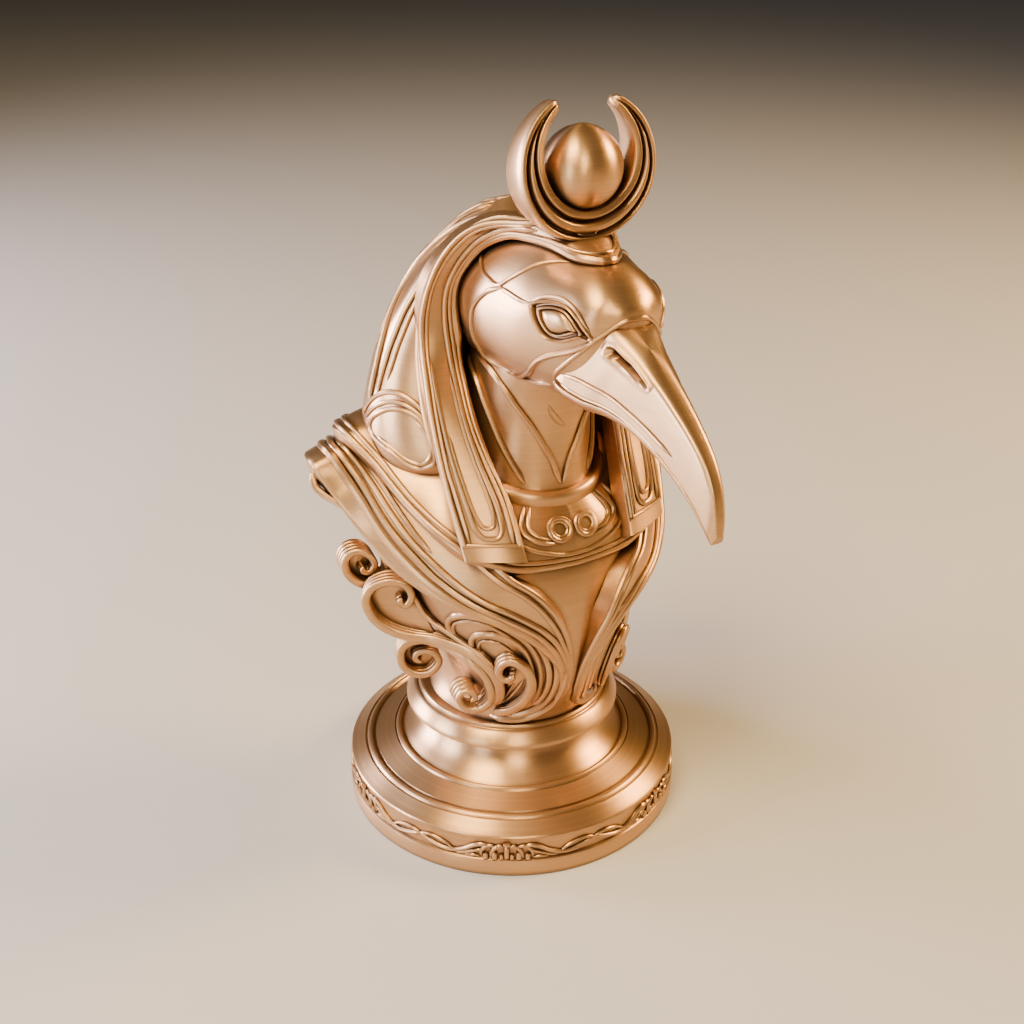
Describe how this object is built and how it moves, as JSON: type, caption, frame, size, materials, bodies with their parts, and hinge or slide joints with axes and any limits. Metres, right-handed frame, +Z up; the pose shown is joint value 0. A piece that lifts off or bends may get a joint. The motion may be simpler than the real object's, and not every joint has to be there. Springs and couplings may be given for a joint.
{
  "type": "ibis-headed bust figurine",
  "caption": "Ibis-headed bust in a striped hood with a crescent and disc crest, cape and openwork leaf scrolls, on a round stepped plinth.",
  "frame": {"origin": "middle of the plinth's underside, on the plane the bust stands on", "axes": "+Z up through the middle of the round plinth; the beak and chest face -Y; +X is the bust's own left, so the figure is symmetric about the plane x = 0"},
  "size_m": [0.1008, 0.1276, 0.1835],
  "materials": {
    "silk_copper_print": "silk copper-bronze printed plastic, satin metallic sheen, fine level layer lines"
  },
  "bodies": {
    "root": {"thoth_bust": "silk_copper_print"}
  },
  "joints": []
}
